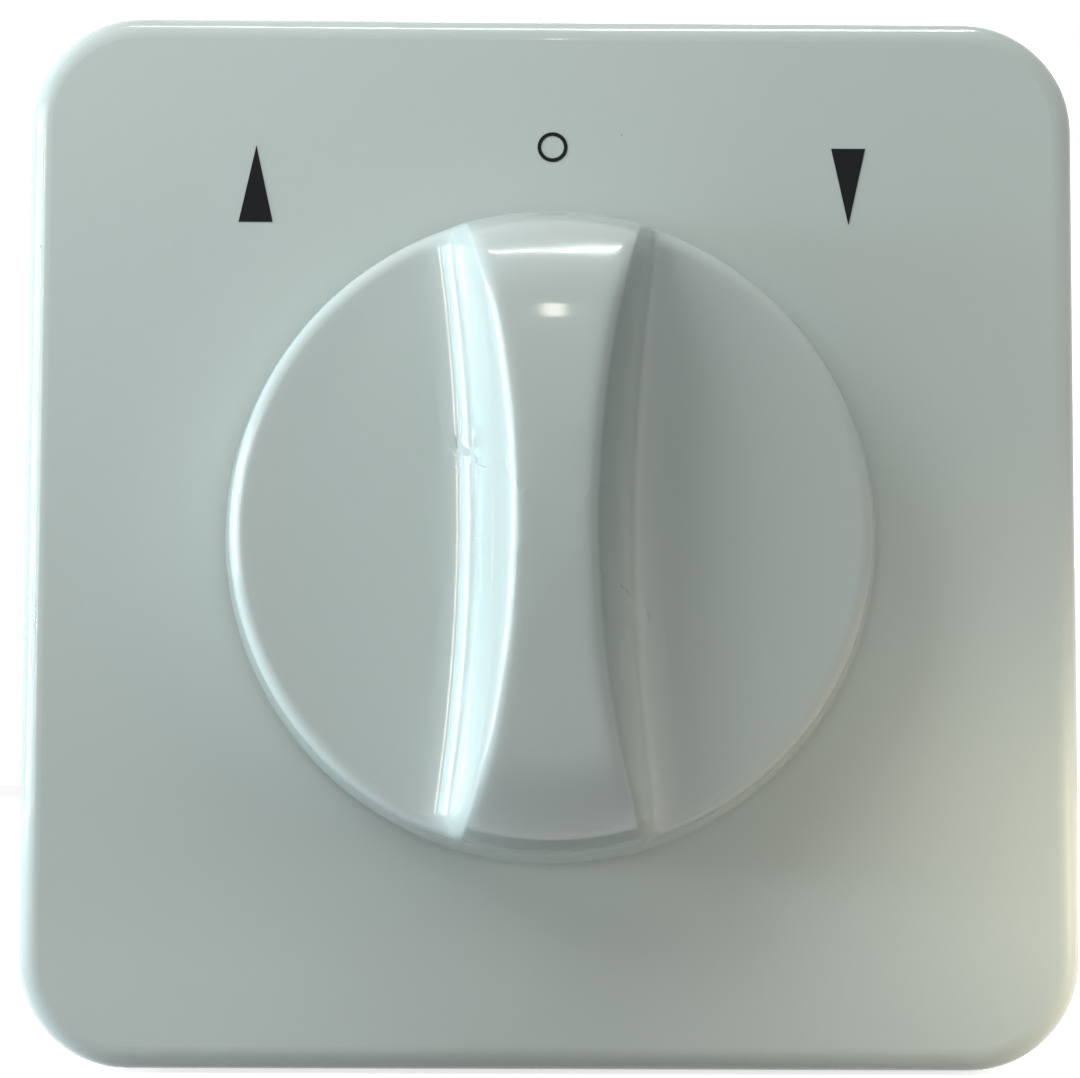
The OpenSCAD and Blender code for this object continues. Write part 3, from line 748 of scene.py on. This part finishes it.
def edged_parts(finishes: Finishes) -> list[EdgedPart]:
    """The parts that keep their form and get broken edges.

    Args:
        finishes: The materials.

    Returns:
        The parts, not yet built.
    """
    return [
        BaseMoulding(finishes, "switch_base", "base_moulding", Body.SWITCH, Slot.BASE_PLASTIC, 0.2),
        EdgedPart(finishes, "bearing_bridge", "bridge_moulding", Body.SWITCH, Slot.BRIDGE_PLASTIC, 0.15),
        EdgedPart(finishes, "support_ring", "ring_stamping", Body.SWITCH, Slot.RING_STEEL, 0.12),
        EdgedPart(finishes, "terminal_screws", "clamp_screws", Body.SWITCH, Slot.SCREW_STEEL, 0.1),
        EdgedPart(finishes, "plate_screws", "countersunk_screws", Body.SWITCH, Slot.SCREW_STEEL, 0.08),
        EdgedPart(finishes, "ring_screws", "cheese_head_screws", Body.SWITCH, Slot.SCREW_STEEL, 0.1),
        EdgedPart(finishes, "detent_wheel", "wheel_moulding", Body.KNOB, Slot.WHEEL_PLASTIC, 0.15),
        EdgedPart(finishes, "contact_drum", "drum_moulding", Body.KNOB, Slot.DRUM_PLASTIC, 0.15),
        EdgedPart(finishes, "up_terminal", "up_block", Body.SWITCH, Slot.CONTACT_BRASS, 0.15),
        EdgedPart(finishes, "down_terminal", "down_block", Body.SWITCH, Slot.CONTACT_BRASS, 0.15),
        EdgedPart(finishes, "common_terminal", "common_block", Body.SWITCH, Slot.CONTACT_BRASS, 0.15),
    ]


def around(turn_deg: float, lift_deg: float, distance: float = 0.9) -> Point:
    """A place for a lamp, turned to the right of the switch's front and lifted above its axis."""
    turn, lift = math.radians(turn_deg), math.radians(lift_deg)
    level = distance * math.cos(lift)
    return (level * math.sin(turn), -level * math.cos(turn), distance * math.sin(lift))


COOL: Colour = (0.62, 0.90, 1.0)
HERE: Point = (0.0, 0.0, 0.0)
LAMPS: list[Lamp] = [
    Lamp("window_glow", (-0.9, 0.07, 0.05), (0.5, 0.12), 10.6, (0.74, 0.90, 1.0), (0.0, -0.01, 0.0), Reach.FILL),
    Lamp("window_side", around(-80.0, 0.0), (0.3, 0.3), 0.75, (0.56, 0.84, 1.0), HERE, Reach.FILL),
    Lamp("room_side", around(-48.0, 5.0), (0.3, 0.3), 0.45, (1.0, 0.86, 0.62), HERE, Reach.FILL),
    Lamp("side_fill", (-0.16, -0.06, 0.0), (0.2, 0.06), 0.048, (0.92, 0.96, 0.97), (-0.02, 0.0, 0.0), Reach.FILL),
    Lamp("top_fill", (0.0, -0.08, 0.16), (0.2, 0.08), 0.150, (0.94, 1.0, 0.98), (0.0, 0.0, 0.02), Reach.FILL),
    Lamp("top_left_fill", (-0.12, -0.12, 0.12), (0.1, 0.1), 0.138, (0.95, 0.98, 1.0), (-0.03, 0.0, 0.03), Reach.FILL),
    Lamp("warm_corner", (0.085, -0.03, -0.03), (0.02, 0.03), 0.0062, (1.0, 0.84, 0.62), (0.036, 0.0, -0.029), Reach.FILL, 60.0),
    Lamp("right_edge", (0.085, -0.03, 0.012), (0.02, 0.05), 0.0018, (1.0, 0.92, 0.82), (0.037, 0.0, 0.012), Reach.FILL, 60.0),
    Lamp("floor_bounce", (0.0, -0.030, -0.0396), (0.08, 0.03), 0.0006, (0.82, 0.92, 1.0), (0.0, -0.02, 0.0), Reach.FILL),
    Lamp("front_fill", around(-28.0, 40.0), (0.3, 0.3), 0.14, (1.0, 0.60, 0.30), HERE, Reach.FILL),
    Lamp("blind_warm", around(-47.0, 2.0), (0.03, 0.6), 1.1, (1.0, 0.90, 0.76), HERE, Reach.MIRRORED),
    Lamp("blind_a", around(-59.0, 2.0), (0.02, 0.6), 1.3, COOL, HERE, Reach.MIRRORED),
    Lamp("blind_b", around(-68.0, 2.0), (0.02, 0.6), 1.5, COOL, HERE, Reach.MIRRORED),
    Lamp("blind_c", around(-78.0, 2.0), (0.03, 0.6), 2.2, COOL, HERE, Reach.MIRRORED),
    Lamp("blind_d", around(-88.0, 2.0), (0.05, 0.6), 2.6, COOL, HERE, Reach.MIRRORED),
    Lamp("tube_left", (-0.09, -0.18, 0.88), (0.30, 0.014), 0.9, (0.96, 1.0, 1.0), HERE, Reach.MIRRORED),
    Lamp("tube_right", (0.13, -0.11, 0.89), (0.30, 0.020), 1.8, (0.96, 1.0, 1.0), HERE, Reach.MIRRORED),
    Lamp("bulb", around(0.8, 28.2, 0.72), (0.007, 0.020), 0.010, (1.0, 0.93, 0.80), HERE, Reach.MIRRORED),
    Lamp("back_fill", (0.25, 0.95, 0.35), (0.6, 0.6), 2.8, (1.0, 1.0, 1.0), (0.0, 0.02, 0.0)),
]


def main() -> None:
    """Builds the scene: the studio, the carried nodes and the new pieces."""
    logging.basicConfig(level=logging.INFO, format="%(name)s: %(message)s")
    bpy.context.scene.view_settings.view_transform = "Standard"
    studio = Studio()
    studio.set_camera()
    studio.set_world()
    studio.set_lamps()
    studio.lay_floor()
    finishes = Finishes()
    CarriedNodes(finishes).dress_all()
    for part in edged_parts(finishes):
        part.build()
    Knob(finishes).build()


if __name__ == "__main__":
    main()
